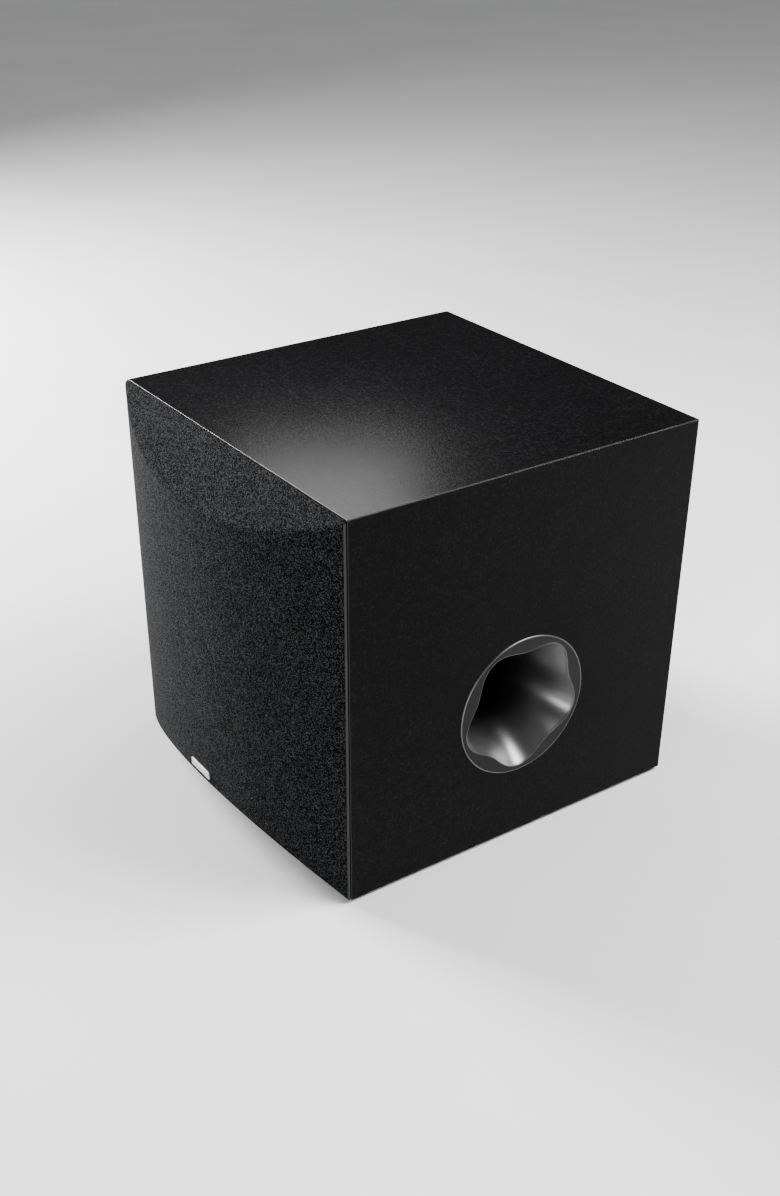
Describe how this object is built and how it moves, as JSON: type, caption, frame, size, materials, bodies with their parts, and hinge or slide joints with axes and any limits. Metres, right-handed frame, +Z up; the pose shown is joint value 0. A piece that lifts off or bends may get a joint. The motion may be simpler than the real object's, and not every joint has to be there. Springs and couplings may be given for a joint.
{
  "type": "subwoofer",
  "caption": "Cubic black powered subwoofer with a bowed pull-off cloth grille, a twisted flared side port and a finned amplifier panel behind.",
  "frame": {"origin": "under the middle of the whole object, on the surface the feet stand on", "axes": "+Z up, -Y towards the front grille, +X towards the side with the port"},
  "size_m": [0.351, 0.42, 0.351],
  "materials": {
    "vinyl_wrap": "satin black vinyl wrap over fibreboard, finely pebbled",
    "bare_board": "black painted fibreboard",
    "raw_board": "bare softwood and fibreboard",
    "wadding": "white polyester wadding",
    "foot_rubber": "matte black rubber",
    "grille_cloth": "black acoustically open knitted cloth",
    "grille_plastic": "matte black moulded plastic",
    "badge_metal": "brushed silver",
    "lamp_lens": "translucent red lens, unlit",
    "port_plastic": "gloss black moulded plastic",
    "tube_plastic": "matte black extruded plastic",
    "basket_paint": "black powder coat on pressed steel",
    "soft_rubber": "matte black butyl rubber",
    "spider_cloth": "resin-treated woven cloth",
    "cone_paper": "dark pressed pulp",
    "former_kapton": "bare aluminium former",
    "copper_wire": "enamelled copper winding",
    "zinc_steel": "zinc plated steel",
    "ferrite": "dark grey ceramic magnet",
    "black_screw": "black oxide steel",
    "terminal_board": "phenolic strip with tinned tabs",
    "foam_seal": "black foam gasket",
    "amp_panel": "matte black powder-coated steel",
    "sink_metal": "black anodised extrusion",
    "circuit_board": "green glass-epoxy board",
    "can_sleeve": "dark blue sleeve",
    "chip_resin": "black moulded resin",
    "knob_plastic": "matte black plastic with a pale pointer",
    "shaft_metal": "turned aluminium",
    "switch_plastic": "black plastic",
    "key_plastic": "grey plastic",
    "rocker_plastic": "gloss black plastic",
    "jack_metal": "nickel plated",
    "jack_insert": "white and red insulators",
    "pin_metal": "nickel plated",
    "core_steel": "laminated silicon steel",
    "coil_tape": "amber tape over the winding",
    "lead_sleeve": "red and black insulation"
  },
  "bodies": {
    "cabinet": {"top_panel": "vinyl_wrap", "bottom_panel": "vinyl_wrap", "left_panel": "vinyl_wrap", "right_panel": "vinyl_wrap", "back_panel": "vinyl_wrap", "front_baffle": "bare_board", "corner_battens": "raw_board", "side_brace": "raw_board", "wadding_pads": "wadding", "feet": "foot_rubber", "grille_sockets": "foot_rubber", "power_lamp": "lamp_lens", "port_flare": "port_plastic", "port_tube": "tube_plastic", "port_inner_flare": "tube_plastic", "woofer_basket": "basket_paint", "woofer_gasket": "foam_seal", "woofer_surround": "soft_rubber", "woofer_spider": "spider_cloth", "woofer_top_plate": "zinc_steel", "woofer_magnets": "ferrite", "woofer_yoke": "zinc_steel", "woofer_screws": "black_screw", "woofer_terminal": "terminal_board", "amp_gasket": "foam_seal", "amp_plate": "amp_panel", "amp_screws": "black_screw", "heat_sink": "sink_metal", "main_board": "circuit_board", "board_standoffs": "zinc_steel", "amp_capacitors": "can_sleeve", "power_transistors": "chip_resin", "preamp_board": "circuit_board", "control_pots": "zinc_steel", "switch_cases": "switch_plastic", "power_switch_case": "switch_plastic", "line_jack_barrels": "jack_metal", "line_jack_inserts": "jack_insert", "control_jack": "switch_plastic", "mains_inlet": "switch_plastic", "inlet_pins": "pin_metal", "transformer_core": "core_steel", "transformer_coil": "coil_tape", "speaker_leads": "lead_sleeve"},
    "cone": {"woofer_cone": "cone_paper", "dust_cap": "cone_paper", "coil_former": "former_kapton", "coil_winding": "copper_wire"},
    "grille": {"grille_cloth": "grille_cloth", "grille_frame": "grille_plastic", "grille_pegs": "grille_plastic", "badge": "badge_metal"},
    "volume": {"volume_knob": "knob_plastic", "volume_shaft": "shaft_metal"},
    "high_cut": {"high_cut_knob": "knob_plastic", "high_cut_shaft": "shaft_metal"},
    "phase": {"phase_slider": "key_plastic"},
    "standby": {"standby_slider": "key_plastic"},
    "mode": {"mode_button": "key_plastic"},
    "rocker": {"power_rocker": "rocker_plastic"}
  },
  "joints": [
    {"name": "cone_travel", "type": "slide", "parent": "cabinet", "child": "cone", "axis": [0, -1, 0], "range_m": [-0.008, 0.008], "stiffness_N_per_m": 2500, "deforming": ["woofer_surround", "woofer_spider"]},
    {"name": "grille_pull", "type": "slide", "parent": "cabinet", "child": "grille", "axis": [0, -1, 0], "range_m": [0, 0.08]},
    {"name": "volume_turn", "type": "hinge", "parent": "cabinet", "child": "volume", "pos_m": [-0.028, 0.19, 0.269], "axis": [0, 1, 0], "range_deg": [-150, 150]},
    {"name": "high_cut_turn", "type": "hinge", "parent": "cabinet", "child": "high_cut", "pos_m": [-0.07, 0.19, 0.269], "axis": [0, 1, 0], "range_deg": [-150, 150]},
    {"name": "phase_slide", "type": "slide", "parent": "cabinet", "child": "phase", "axis": [1, 0, 0], "range_m": [0, 0.004]},
    {"name": "standby_slide", "type": "slide", "parent": "cabinet", "child": "standby", "axis": [1, 0, 0], "range_m": [-0.003, 0.003]},
    {"name": "mode_press", "type": "slide", "parent": "cabinet", "child": "mode", "axis": [0, -1, 0], "range_m": [0, 0.0025], "stiffness_N_per_m": 600, "springref_m": -0.0005},
    {"name": "power_rock", "type": "hinge", "parent": "cabinet", "child": "rocker", "pos_m": [-0.049, 0.184, 0.129], "axis": [1, 0, 0], "range_deg": [0, 18]}
  ]
}
